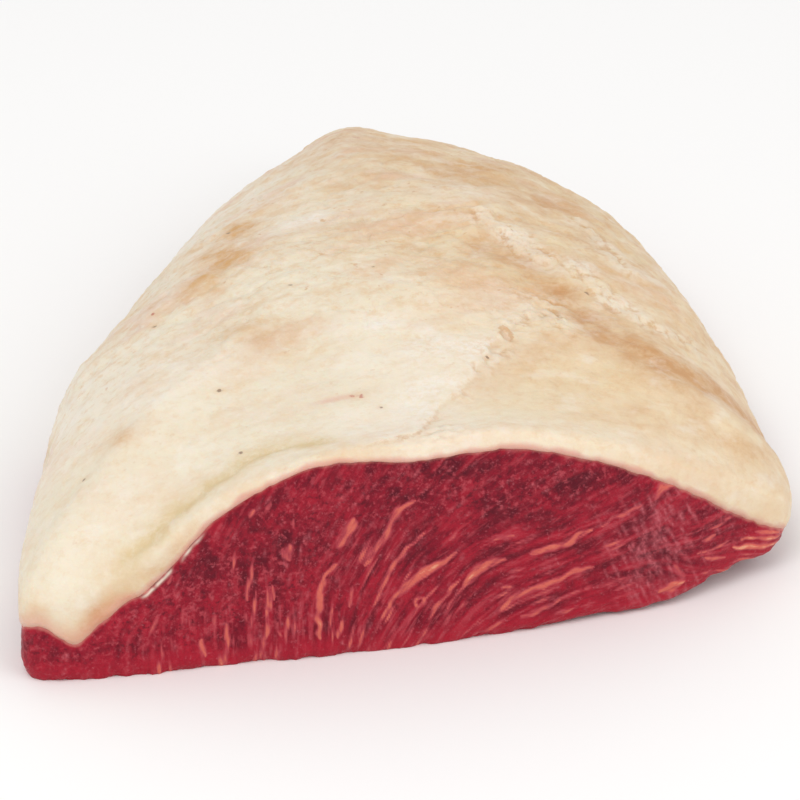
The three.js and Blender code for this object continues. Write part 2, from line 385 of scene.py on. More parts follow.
# Streaks of marbling on the cut face: how wide and how light each one is, then its (x, height) points.
VEINS = (
    (1.2, 0.8, (-46.6, 31.3), (-46.5, 26.8)),
    (0.6, 0.8, (-55.6, 23.1), (-56.1, 16.8)),
    (0.8, 0.9, (-51.4, 14), (-51.7, 6.7)),
    (0.5, 0.8, (-48.9, 10.6), (-48.7, 6.4)),
    (0.9, 1, (-38, 21.4), (-39, 17), (-39.7, 11.9), (-39.3, 5.5)),
    (0.5, 0.7, (-61, 11.8), (-61.3, 5.8)),
    (0.7, 0.7, (-67.1, 7.9), (-65.7, 3.6)),
    (0.5, 0.5, (-45, 37.9), (-45.4, 34.8)),
    (0.6, 0.6, (-50.4, 42.4), (-51.6, 40.3)),
    (0.7, 0.6, (-54, 40.5), (-55.6, 38.9)),
    (0.8, 0.7, (-73.6, 26), (-74.4, 23.8)),
    (0.6, 0.9, (-78, 22.1), (-80, 21.4)),
    (0.4, 0.6, (-50.1, 20.7), (-50, 16.7)),
    (1.7, 0.75, (-31.4, 35.9), (-33.8, 30.9), (-35, 29.4)),
    (0.7, 0.8, (-35.1, 25.5), (-38.1, 21.4)),
    (0.8, 0.85, (-16.8, 39.3), (-20.6, 37.2), (-24.5, 30.3), (-28.4, 23.7)),
    (0.8, 0.75, (-27.3, 28.5), (-29.2, 24.3)),
    (0.5, 0.8, (-14.4, 30.8), (-19.1, 27), (-22.6, 22.2), (-25.3, 16.8), (-27.3, 12.6)),
    (0.95, 1, (-7.7, 24.5), (-10, 21.8), (-15.2, 20.3), (-19.1, 16.5), (-22.2, 13.7), (-23, 11.6)),
    (0.55, 0.8, (-6.5, 17.3), (-9.6, 13.3), (-13.2, 9), (-13.9, 6.9)),
    (1.2, 0.95, (4.6, 20.6), (-0.2, 20.4), (-2.9, 17.7), (-5.7, 15)),
    (0.5, 0.7, (-7.7, 12.6), (-9.2, 9.7)),
    (0.8, 0.85, (17.6, 13), (11.1, 11.9), (5.9, 9.7), (3.5, 6.9)),
    (0.8, 0.8, (17.4, 22), (14.2, 22), (10.6, 20.9)),
    (0.45, 0.6, (6.9, 26.8), (2.9, 26.1), (-1.8, 25)),
    (0.6, 0.6, (-7, 29.7), (-9.3, 27.8)),
    (0.6, 0.65, (-31.5, 18.4), (-32.7, 12.8)),
    (0.8, 0.65, (17.7, 7.2), (12.4, 5.4), (8.4, 4.8)),
    (0.7, 0.6, (-31.8, 44.1), (-34.1, 41.4)),
    (0.5, 0.8, (-34.7, 9.5), (-35.1, 5.1)),
    (0.5, 0.8, (-31.6, 6.5), (-32.4, 3)),
    (0.5, 0.65, (7.5, 13.4), (3.5, 12.8)),
    (0.8, 0.85, (25.6, 25.1), (22.2, 24.5), (19.9, 22.3), (12.9, 20.9)),
    (0.6, 0.75, (37.8, 29.6), (34.6, 28.1), (30.7, 27.2), (27.2, 25.7)),
    (1.1, 0.7, (46.4, 32.9), (42.5, 32.9), (40.9, 30.2)),
    (0.8, 0.85, (26.3, 14.8), (20.8, 14.5), (15.4, 12.4), (13.1, 11.5)),
    (1.2, 1.1, (48.5, 6.7), (44.9, 5.8), (42.5, 5)),
    (0.7, 1.4, (74.7, 8.3), (68.2, 9.4), (61.8, 11)),
    (0.5, 1.3, (75.4, 9.6), (71, 10.6), (64.6, 12.2)),
    (0.5, 1.2, (75.1, 10.8), (70.8, 12.2), (67.6, 13.2)),
    (0.7, 0.8, (56.8, 16.5), (53.4, 15.5)),
    (0.5, 0.8, (60.9, 13), (57.4, 12.4), (52.2, 12.8)),
    (0.5, 0.75, (59.8, 9), (54.4, 10.8)),
    (0.6, 0.6, (26, 9.7), (23.6, 9.3)),
    (1.4, 0.5, (46.3, 11.3), (48.5, 7.5)),
)
CURL = {"centre": (-15.9, 12.3), "radius": 1.1, "width": 0.45}  # a small ring of fat among the streaks
FLECKS = {"count": 750, "seed": 6, "lengths": (0.7, 2.6), "widths": (0.16, 0.32)}
THIN_STREAKS = {"count": 260, "seed": 8, "lengths": (3, 9), "widths": (0.25, 0.5)}
THIN_FROM = -78  # thin streaks lie to the right of this
CROSS_FLECKS = {"count": 220, "seed": 7, "lengths": (1.6, 4.6), "widths": (0.26, 0.48)}
CROSSED = {"centre": (41.5, 17), "reach": (7, 11.5), "degrees": 114}  # light flecks across the grain
# Where the meat is darker on the cut face: (x, height), reach across and up, and how much.
DARK_AREAS = (
    ((-8, 46), (13, 2.6), 0.9),
    ((22, 38), (10, 3), 0.9),
    ((-17, 40), (6, 2.5), 0.6),
    ((-63, 26.5), (8, 5), 0.2),
    ((-47, 30), (9, 8), 0.4),
    ((4, 33), (9, 5), 0.5),
    ((40, 18), (5, 5), 0.45),
    ((-19, 31), (6, 5), 0.4),
)
# Where the cut is blotchy and the fibres hardly show: (x, height) and reach.
BLOTCHED = (
    ((-95, 8), (22, 14)),
    ((-64, 20), (20, 15)),
    ((-22, 41), (26, 8)),
    ((15, 38), (22, 7)),
    ((-45, 30), (10, 12)),
)
FIELD_X = (-116, 92)
FIELD_Z = (-3, 56)
PITCH = 0.2
HEADINGS = 6


def field_points():
    x = np.arange(*FIELD_X, PITCH)
    z = np.arange(*FIELD_Z, PITCH)
    return np.meshgrid(x, z)


def sampled(field, x, z):
    """The field's value between its points."""
    u = np.clip((x - FIELD_X[0]) / PITCH, 0, field.shape[1] - 1.001)
    v = np.clip((z - FIELD_Z[0]) / PITCH, 0, field.shape[0] - 1.001)
    i, j = u.astype(int), v.astype(int)
    s, t = u - i, v - j
    low = mix(field[j, i], field[j, i + 1], s)
    high = mix(field[j + 1, i], field[j + 1, i + 1], s)
    return mix(low, high, t)


def grain_directions(x, z):
    """Unit vectors along the fibres, from the directions of the streaks nearby."""
    double_cos = np.zeros_like(x)
    double_sin = np.zeros_like(x)
    for _, _, *line in VEINS:
        for (x0, z0), (x1, z1) in zip(line, line[1:]):
            angle = 2 * math.atan2(z1 - z0, x1 - x0)
            off = (x - (x0 + x1) / 2) ** 2 + (z - (z0 + z1) / 2) ** 2
            weight = math.hypot(x1 - x0, z1 - z0) / (off + 12) ** 1.5
            double_cos += weight * math.cos(angle)
            double_sin += weight * math.sin(angle)
    angle = np.arctan2(double_sin, double_cos) / 2
    return np.cos(angle), np.sin(angle)


def combed(field, cos, sin, x, z, length, step=0.3):
    """The field smeared along the grain, which turns speckle into fibres."""
    total = field.copy()
    weights = 1
    for direction in (1, -1):
        px, pz = x.copy(), z.copy()
        for k in range(1, int(length / step) + 1):
            c, s = sampled(cos, px, pz), sampled(sin, px, pz)
            px += direction * step * c
            pz += direction * step * s
            weight = 0.5 + 0.5 * math.cos(math.pi * k * step / length)
            total += weight * sampled(field, px, pz)
            weights += weight
    return total / weights


def levelled(field):
    """Stretched to run from 0 to 1, with the extremes clipped."""
    low, high = np.percentile(field, (2, 98))
    return np.clip((field - low) / (high - low), 0, 1)


def streak_mask(points, width, x, z, wobble):
    """1 along a streak, fading to its sides and ends."""
    off, _, along = near_line(points, x + wobble[0], z + wobble[1])
    taper = np.sqrt(np.clip(4 * along * (1 - along), 0, 1)) * 0.7 + 0.3
    return bell(off / (0.95 * width * taper))


def flecks(x, z, cos, sin, inside, count, seed, lengths, widths):
    """Small light streaks scattered over the cut, each along the local grain."""
    draw = np.random.default_rng(seed)
    field = np.zeros_like(x)
    while count:
        cx, cz = draw.uniform(*FIELD_X), draw.uniform(*FIELD_Z)
        length, width, strength = draw.uniform(*lengths), draw.uniform(*widths), draw.uniform(0.2, 0.85)
        if not inside(cx, cz, draw.random()):
            continue
        count -= 1
        i = int((cx - FIELD_X[0]) / PITCH)
        j = int((cz - FIELD_Z[0]) / PITCH)
        reach = int((length + 2) / PITCH)
        window = (slice(max(j - reach, 0), j + reach), slice(max(i - reach, 0), i + reach))
        wx, wz = x[window] - cx, z[window] - cz
        c, s = cos[j, i], sin[j, i]
        along, across = wx * c + wz * s, -wx * s + wz * c
        mask = bell(2 * along / length, across / width)
        field[window] = np.maximum(field[window], strength * mask)
    return field


def is_anywhere(x, z, chance):
    return True


def is_low(x, z, chance):
    return chance < 1 - z / 30 and x > THIN_FROM


def is_crossed(x, z, chance):
    return chance < bell(*((p - c) / r for p, c, r in zip((x, z), CROSSED["centre"], CROSSED["reach"])))


def cut_fields():
    """What varies over the cut: fibres, bundles of them, marbling, flecks, dark and blotchy places."""
    x, z = field_points()
    points = np.stack([x, np.zeros_like(x), z], -1)
    cos, sin = grain_directions(x, z)
    draw = np.random.default_rng(5)
    fibre = levelled(combed(draw.random(x.shape), cos, sin, x, z, 3))
    bundle = levelled(combed(noise(points, 0.9, 21), cos, sin, x, z, 9))
    wobble = [0.5 * noise(points, 2.2, 31 + k) for k in (0, 1)]
    ragged = 0.35 + 0.8 * levelled(combed(noise(points, 0.7, 35), cos, sin, x, z, 2))
    vein = np.zeros_like(x)
    for width, strength, *line in VEINS:
        vein = np.maximum(vein, strength * streak_mask(line, width, x, z, wobble))
    ring = np.hypot(x - CURL["centre"][0], z - CURL["centre"][1])
    vein = np.maximum(vein, 0.7 * bell((ring - CURL["radius"]) / CURL["width"]))
    crossed = np.clip(1.2 * spots([(CROSSED["centre"], CROSSED["reach"])], x, z), 0, 1)
    thin = flecks(x, z, cos, sin, is_low, **THIN_STREAKS)
    vein = np.maximum(vein * ragged, 1.1 * thin * (1 - crossed) * ragged)
    turn = math.radians(CROSSED["degrees"])
    flat = (np.full_like(x, math.cos(turn)), np.full_like(x, math.sin(turn)))
    across = flecks(x, z, *flat, is_crossed, **CROSS_FLECKS)
    fleck = flecks(x, z, cos, sin, is_anywhere, **FLECKS)
    fleck = np.maximum(fleck * (1 - crossed), 1.25 * across)
    dark = 0.22 * (1 + fractal(points, 7, 41, 3)) + spots(DARK_AREAS, x, z)
    fields = {
        "fibre": fibre,
        "bundle": bundle,
        "vein": vein,
        "fleck": fleck,
        "dark": np.clip(dark + 0.35 * crossed, 0, 1),
        "blotch": np.clip(spots(BLOTCHED, x, z) + 0.6 * crossed, 0, 1),
    }
    heading = np.arctan2(sin, cos) % math.pi / math.pi * HEADINGS
    for k in range(HEADINGS):
        away = np.abs(heading - k)
        fields[f"heading{k}"] = np.clip(1 - np.minimum(away, HEADINGS - away), 0, 1)
    return fields


# ---- the lean

LEAN_FRONT_COLUMNS = 590
LEAN_REST_COLUMNS = 130
HIDDEN_ROWS = 6
SIDE_ROWS = 106
UNDER_ROWS = 20
CUT_BULGE = 0.55
UNDER_SHARES = 1 - 0.9 * (np.arange(1, UNDER_ROWS + 1) / UNDER_ROWS) ** 1.3


def lean_line(r, z, hem, ragged, lift):
    above, below = split_at_hem(r, z, hem)
    side = resample(below, SIDE_ROWS, 3)
    under_z = smoothstep(RESTING_SHARE, 1, UNDER_SHARES) * lift
    under = np.stack([side[-1, 0] * UNDER_SHARES, under_z], -1)
    line = np.vstack([resample(above, HIDDEN_ROWS, 6), side[1:], under, [(0, 0)]])
    return strayed(line, side[0].copy(), ragged)


def grain_looks(grid, is_cut, under):
    """The grain and the marbling: the fields of the cut in front, and plain noise round the rest."""
    along_y = (1, 5, 1)
    elsewhere = {
        "fibre": 0.5 + 0.5 * noise(grid, 1.2, 51, along_y),
        "bundle": 0.5 + 0.5 * noise(grid, 3, 52, along_y),
        "vein": 0.5 * smoothstep(0.45, 0.75, noise(grid, 2.4, 53, along_y)),
        "fleck": 0.6 * smoothstep(0.5, 0.9, noise(grid, 0.9, 54, (1, 3, 1))),
        "dark": 0.35 + 0.35 * fractal(grid, 14, 55, 3),
        "blotch": 0.4,
    }
    plain = {"fibre": 0.5, "bundle": 0.5, "vein": 0, "fleck": 0, "dark": 0.35}
    looks = {"under": under}
    for key, field in cut_fields().items():
        on_cut = sampled(field, grid[..., 0], grid[..., 2])
        looks[key] = mix(elsewhere.get(key, 1 / HEADINGS), on_cut, is_cut)
        if key in plain:
            looks[key] = mix(looks[key], plain[key], under)
    return looks


def edge_looks(grid, is_cut, below_hem, above_base):
    """The brighter edges, the pink line under the fat, the film where the fat is torn, and painted shadow
    in the gap there.
    """
    x = grid[..., 0]
    rim = np.maximum(
        1 - smoothstep(1.5, 8, above_base + 1.5 * noise(grid, 6, 61)),
        0.8 * (1 - smoothstep(0.6, 2.2, below_hem)) * (1 - smoothstep(-45, -30, x)),
    )
    peeled = torn_part(grid) * smoothstep(-0.3, 0.3, noise(grid, 2, 66))
    # painted shadow in the gap where the fat has lifted
    gap_shadow = torn_part(grid) * smoothstep(-0.1, 0.4, noise(grid, 1.5, 67))
    return {
        "edge": is_cut * mix(rim, 1, 0.6 * smoothstep(56, 70, x)),
        "blush": 1 - smoothstep(0.15, 1.1, below_hem + 0.3 * noise(grid, 1.5, 62)),
        "membrane": peeled * bell((below_hem - 1.1) / 0.5),
        "gap_shadow": gap_shadow * (1 - smoothstep(0.3, 0.8, below_hem)),
    }


def lean_relief(grid, looks, is_cut, on_side, below_hem, above_base):
    """How far the surface lies outside the smooth form, in millimetres."""
    bulge = CUT_BULGE * is_cut * smoothstep(0.3, 4, below_hem)
    fine = 0.16 * (looks["fibre"] - 0.5) + 0.3 * (looks["bundle"] - 0.5) + 0.22 * looks["vein"]
    rough = 0.3 * fractal(grid, 9, 64, 4) * (1 - looks["under"])
    torn = 0.5 * noise(grid, 3, 65) + 0.6 * noise(grid, 8, 68) * smoothstep(10, 45, grid[..., 0])
    ragged = torn * (1 - smoothstep(1, 5, above_base)) * (1 - looks["under"])
    height = bulge + (fine + rough) * on_side + ragged
    height[: HIDDEN_ROWS + 1] = 0
    return height


def make_lean(shift):
    columns = columns_at(spread_columns(LEAN_FRONT_COLUMNS, LEAN_REST_COLUMNS))
    r, z = profiles(columns, "lean")
    lines = [lean_line(*each) for each in zip(r, z, *(columns[key] for key in ("hem", "ragged", "lift")))]
    grid = polar_grid(columns, lines)
    rows = np.arange(len(grid))[:, None] - HIDDEN_ROWS
    on_side = (rows >= 0) & (rows <= SIDE_ROWS)
    is_cut = smoothstep(0.35, 0.85, columns["face"]) * on_side
    under = smoothstep(0, 3, rows - SIDE_ROWS) * np.ones(grid.shape[:2])
    below_hem = np.maximum(columns["hem"] + columns["ragged"] - grid[..., 2], 0)
    above_base = grid[..., 2] - columns["lift"]
    looks = grain_looks(grid, is_cut, under)
    looks.update(edge_looks(grid, is_cut, below_hem, above_base))
    height = lean_relief(grid, looks, is_cut, on_side, below_hem, above_base)
    shaped = grid + grid_normals(grid) * height[..., None]
    shaped[..., 2] += under * np.maximum(1.2 * fractal(grid, 22, 69, 3), 0)
    shaped[..., 2] = np.maximum(shaped[..., 2], 0)
    return dome_mesh("lean_meat", shaped, looks, shift)


# ---- the fat

FAT_FRONT_COLUMNS = 262
FAT_REST_COLUMNS = 318
SKIN_ROWS = 160
LIP_ROUND = 2.6
SKIN_DROP = 0.45  # keeps the fat's relief inside the solids' box
SUNK = 0.35  # how far the fat's inner face goes into the lean, so that no gap shows
INNER_ROWS = 5
DRIFT = math.radians(12)  # streaks and wrinkles run across the piece, a little askew
# Marks on the fat seen from above, as (x, y).
SEAM = (
    (-31, 0.2), (-23, 1.2), (-15.6, 4), (-11, 9), (-5.4, 20), (0.9, 27), (5, 33),
    (9, 39.5), (13, 45), (18, 51.5), (25.4, 62.6), (30, 72),
)
SEAM_WAVER = 1.6
GROOVE = (
    (20, 104), (25, 91), (31, 82), (35, 73), (38, 62),
    (41, 52.5), (47, 45.5), (54, 41), (63, 40), (82, 43),
)
FOLD = ((-88, 0), (-82, 1), (-77.5, 2.5), (-71, 5), (-64.7, 7), (-58, 8), (-52.6, 11), (-41, 11), (-33, 6))
ROUGH_BANDS = (  # width, then the line
    (5, ((20, 113), (28, 105), (30.4, 97), (35, 89), (38.6, 86.4))),
    (4.6, ((38.5, 88), (42.8, 84), (46.4, 79), (49.6, 71.5), (56, 66.5), (64.4, 65), (72, 66))),
    (4.5, ((50, 128), (56.9, 118.5), (58, 108), (57, 97), (59.5, 89.5))),
)
CRUMBLED = (
    ((12, 44), (5, 5)),
    ((22, 58), (7, 7)),
    ((30, 66), (8, 6)),
    ((33, 54), (4, 5)),
    ((-9, 5), (5, 6)),
)
SMEAR = {"place": (-29.5, 28.6), "reach": (6.5, 1.5)}  # a faint red streak beside a speck
RING_PIT = {"place": (16.3, 50.2), "reach": (1.5, 2.7)}
STAINS = (  # (x, y), reach, strength
    ((-42, 60), (16, 6), 0.4),
    ((-24, 30), (9, 3), 0.3),
    ((-15, 106), (20, 12), 0.5),
    ((5, 142), (22, 14), 0.35),
    ((31, 155), (14, 16), 0.4),
    ((45, 134), (12, 12), 0.45),
    ((5, 185), (16, 18), 0.25),
    ((-38, 55), (10, 5), 0.25),
    ((12, 92), (12, 10), 0.35),
    ((40, 62), (9, 8), 0.35),
    ((71, 48), (8, 5), 0.3),
)
OCHRE_STAINS = (
    ((-34, 129), (4.5, 9), 1.1),
    ((-42, 112), (6, 13), 1.2),
    ((-50, 95), (5, 7), 1),
    ((-61, 99), (2.5, 3), 0.7),
    ((-79, 33), (6, 5), 0.45),
    ((-44, 65), (9, 4), 0.4),
    ((-37, 102), (6, 5), 0.35),
    ((31, 155), (8, 8), 0.4),
    ((-86, 0), (5, 3), 0.3),
)
WET_HIGHLIGHTS = (  # painted highlights, whiter places where the fat looks wet: (x, y), reach
    ((52, 73), (6, 4)),
    ((-15, 57), (8, 4)),
    ((-22, 118), (14, 6)),
    ((-8, 22), (10, 10)),
    ((-2, 46), (12, 8)),
    ((45, 88), (5, 4)),
    ((30, 100), (5, 5)),
    ((24, 128), (9, 6)),
)
DARK_SPECKS = (  # (x, y), radius
    ((-62.9, 85.5), 0.6),
    ((-30.1, 80.6), 0.5),
    ((-54.5, 41), 0.6),
    ((-19.9, 22.4), 0.45),
    ((-54.4, 14.6), 0.5),
    ((-89.1, 25.4), 0.5),
    ((9.2, 39.6), 0.45),
    ((42.1, 74.7), 0.6),
    ((-37, 129), 0.6),
    ((-9, 84), 0.4),
)
RED_SPECKS = (((-23.5, 28.1), 0.7), ((7.1, 185), 0.9), ((-62, 92), 0.6), ((-25.5, 28.6), 0.5))


def fat_line(r, z, lean_r, lean_z, hem, ragged, round_off):
    skin, _ = split_at_hem(r, z, hem)
    hidden, _ = split_at_hem(lean_r, lean_z, hem)
    hem_point = hidden[-1].copy()
    inner = offset(resample(hidden, INNER_ROWS, 6), -SUNK)
    skin = resample(skin, SKIN_ROWS, 8)
    drop = np.clip(1 - (skin[:, 1] - hem) / round_off, 0, 1) * (skin[:, 0] > 0.8 * skin[-1, 0])
    skin[:, 0] = mix(skin[:, 0], np.minimum(skin[:, 0], inner[-1, 0] + 0.35), drop**2.2)
    return strayed(np.vstack([skin, inner[::-1]]), hem_point, ragged)


def crumbs_of(points, size, seed):
    """Rounded crumbs: 1 at the middle of each and 0 in the gaps between them."""
    cell = np.floor(points / size).astype(np.int64)
    nearest = np.full(points.shape[:-1], np.inf)
    for step in itertools.product((-1, 0, 1), repeat=3):
        other = cell + step
        places = [0.5 + 0.4 * lattice(*axes(other), seed + 100 * axis) for axis in range(3)]
        off = points / size - other - np.stack(places, -1)
        nearest = np.minimum(nearest, (off**2).sum(-1))
    return np.clip(1 - 1.6 * nearest, 0, 1)


def torn_part(points):
    """1 on the slope at the left of the cut, where the fat has come a little away from the lean."""
    x, y, _ = axes(points)
    return smoothstep(-83, -78, x) * (1 - smoothstep(-69, -64, x)) * (1 - smoothstep(4, 9, y))


def drifted(points):
    x, y, z = axes(points)
    cos, sin = math.cos(DRIFT), math.sin(DRIFT)
    return np.stack([x * cos + y * sin, y * cos - x * sin, z], -1)


def near_wavering(points, line, waver):
    x, y, _ = axes(points)
    return near_line(line, x + waver * noise(points, 5, 85), y + waver * noise(points, 4, 86))


def line_mark(points, line, width, waver=1.5):
    """1 on a wavering line, falling off beside it, and a step there: up on its left, down on its right."""
    off, side, along = near_wavering(points, line, waver)
    ends = smoothstep(0, 0.08, along) * (1 - smoothstep(0.92, 1, along))
    step = side * smoothstep(0, 1, off) * np.exp(-off / 8)
    return ends * bell(off / width), ends * step


def fat_relief(points, busy, on_band):
    """Height of the fine relief on the fat's skin, in millimetres, and the masks that colour it."""
    x, y, _ = axes(points)
    turned = drifted(points)
    lumps = 0.55 * fractal(points, 24, 71, 3)
    wrinkles = fractal(turned, 5, 75, 4, (1.3, 1, 1))
    ridged = 1 - np.abs(fractal(turned, 8, 79, 4, (1.3, 1, 1)))
    height = lumps + (0.12 + 0.36 * busy) * wrinkles - (0.1 + 0.3 * busy) * smoothstep(0.8, 1, ridged)
    height += (0.06 + 0.12 * busy) * noise(points, 1.8, 83)
    height *= 1 - 0.5 * on_band
    broken = smoothstep(-0.25, 0.35, noise(points, 6, 84))
    cut, step = line_mark(points, SEAM, 0.9, SEAM_WAVER)
    crumbs = np.clip(spots(CRUMBLED, x, y), 0, 1) * smoothstep(-0.3, 0.3, noise(points, 5, 88))
    crumbs = np.maximum(crumbs, 0.6 * line_mark(points, SEAM, 2.2, 3)[0] * broken)
    lumpy = crumbs_of(points + 1.5 * noise(points, 3, 87)[..., None], 2.6, 87)
    height += 0.6 * np.maximum(step, -0.3) - 0.3 * cut * broken + crumbs * (1.3 * lumpy - 0.45)
    height -= 0.9 * line_mark(points, GROOVE, 5)[0]
    height -= 0.45 * line_mark(points, FOLD, 1.6, 1)[0]
    rough = np.max([line_mark(points, line, width, 2.5)[0] for width, line in ROUGH_BANDS], 0)
    blobs = crumbs_of(points, 3.6, 89) + 0.5 * crumbs_of(points, 2, 90)
    height += rough * (0.95 * blobs - 0.4)
    ring = np.hypot(*((v - c) / r for v, c, r in zip((x, y), RING_PIT["place"], RING_PIT["reach"])))
    height += 0.4 * bell((ring - 1.2) / 0.45) - 0.3 * bell(ring / 0.7)
    # how high the lumps stand, which sets the painted shade between them and the painted light on their
    # tops
    tops = np.where(rough > crumbs, smoothstep(0.2, 1, blobs), smoothstep(0.15, 0.7, lumpy))
    rough = np.maximum(rough, 0.9 * crumbs)
    return height, {"rough": rough, "tops": tops, "seam": cut, "step": step}


# Painted shade: tan along the groove on the fat's right flank.
def groove_shade(points):
    x, y, _ = axes(points)
    off, _, along = near_line(GROOVE, x + 0.8 * noise(points, 5, 85), y + 0.8 * noise(points, 5, 86))
    fading = mix(0.65, 1, smoothstep(0.25, 0.6, along)) * smoothstep(0, 0.1, along)
    reach = mix(5.5, 8, smoothstep(0.5, 0.7, along))
    return fading * np.clip(1.2 * bell(off / reach), 0, 1)


def corner_stain(points, to_hem, uneven):
    """Tan along the hem at the left corner, less at its very end."""
    x = points[..., 0]
    share = 1.3 * smoothstep(-62, -80, x) * (1 - 0.65 * smoothstep(-93, -99, x)) * np.clip(uneven, 0.4, 1.1)
    return share * (1 - smoothstep(2, 9, to_hem + 2 * noise(points, 4, 96)))


def fat_looks(points, masks, busy, on_skin, to_hem, near_cut):
    """What the fat's material reads at each point."""
    x, y, _ = axes(points)
    uneven = np.clip(0.7 + 0.9 * fractal(drifted(points), 6, 91, 4, (1.25, 1, 1)), 0, 1.5)
    # Real stains, and painted shadow on the low side of the seam's step.
    tan_and_shade = spots(STAINS, x, y) + 0.5 * np.maximum(-masks["step"], 0)
    tan_and_shade += 0.55 * smoothstep(-5, 60, x + 0.1 * y - 14 * fractal(points, 40, 95, 3))
    tan_and_shade = (tan_and_shade + 0.1 * smoothstep(70, 190, y)) * (1 - 0.6 * near_cut)
    # painted shade along the groove
    tan_and_shade = np.clip(tan_and_shade * uneven, 0, 1) + 0.95 * groove_shade(points) * mix(1, uneven, 0.25)
    # The tan at the left corner is the fat's own; the tan in the seam's cut is painted shade.
    tan_and_shade += corner_stain(points, to_hem, uneven) + 0.3 * masks["seam"] * uneven
    ochre = spots(OCHRE_STAINS, x, y) * np.clip(0.8 + 0.7 * fractal(points, 5, 98, 3), 0.2, 1.2)
    off, side, along = near_wavering(points, SEAM, SEAM_WAVER)
    # Painted shade: a thin tan line along the seam's crease.
    crease_shade = smoothstep(6, 3, off) * smoothstep(0, 0.05, along) * (1 - smoothstep(0.45, 0.8, along))
    crease_shade *= mix(1, 0.4, smoothstep(0.22, 0.38, along))
    # painted highlights at the wet-looking places and on the raised side of the seam's step
    painted_highlight = spots(WET_HIGHLIGHTS, x, y) + 0.8 * np.maximum(masks["step"], 0)
    waver = noise(points, 3, 97)
    at_left = smoothstep(-78, -92, x)
    return {
        "rough": masks["rough"] * on_skin,
        "tops": masks["tops"] * on_skin,
        # painted shade along the fold
        "fold_shade": line_mark(points, FOLD, 3.4, 1)[0] * on_skin,
        "off_seam": np.clip(off * side, -6, 6),
        "crease_shade": crease_shade * on_skin,
        "ochre": np.clip(1.2 * ochre, 0, 1) * on_skin,
        "tan_and_shade": np.clip(tan_and_shade, 0, 1.3) * on_skin,
        "busy": busy,
        "warm": smoothstep(-35, 40, x + 6 * fractal(points, 20, 94, 3)) * (1 - 0.45 * near_cut),
        "painted_highlight": np.clip(painted_highlight * uneven, 0, 1),
        "rose": (1 - 0.3 * at_left) * (1 - smoothstep(0.3, 2 + 4.5 * at_left, to_hem + 0.8 * waver)),
        "low": (1 - smoothstep(1.5, 11, to_hem + 3 * waver)) * (1 - 0.3 * near_cut),
    }


def make_fat(shift):
    columns = columns_at(spread_columns(FAT_FRONT_COLUMNS, FAT_REST_COLUMNS))
    r, z = profiles(columns, "skin")
    lean_r, lean_z = profiles(columns, "lean")
    round_off = LIP_ROUND + 1.5 * (1 - columns["face"])
    sides = (columns["hem"], columns["ragged"], round_off)
    grid = polar_grid(columns, [fat_line(*each) for each in zip(r, z, lean_r, lean_z, *sides)])
    normals = grid_normals(grid)
    on_skin = (np.arange(len(grid))[:, None] <= SKIN_ROWS) * np.ones(grid.shape[:2])
    to_hem = np.linalg.norm(grid - grid[SKIN_ROWS], axis=-1)
    on_front = (columns["face"] > 0.5) * on_skin
    on_band = smoothstep(0.45, 0.85, -normals[..., 1]) * on_front
    near_cut = on_front * (1 - smoothstep(4, 24, to_hem))
    busy = 0.1 + 0.9 * smoothstep(15, 105, grid[..., 1] + 8 * fractal(grid, 30, 93, 3))
    height, masks = fat_relief(grid, busy, on_band)
    lip = on_skin * smoothstep(0, 2.5, to_hem)
    lip[SKIN_ROWS:] = 0
    shaped = grid + normals * ((height - SKIN_DROP) * lip)[..., None]
    looks = fat_looks(grid, masks, busy, on_skin, to_hem, near_cut)
    return dome_mesh("fat", shaped, looks, shift)


# ---- materials


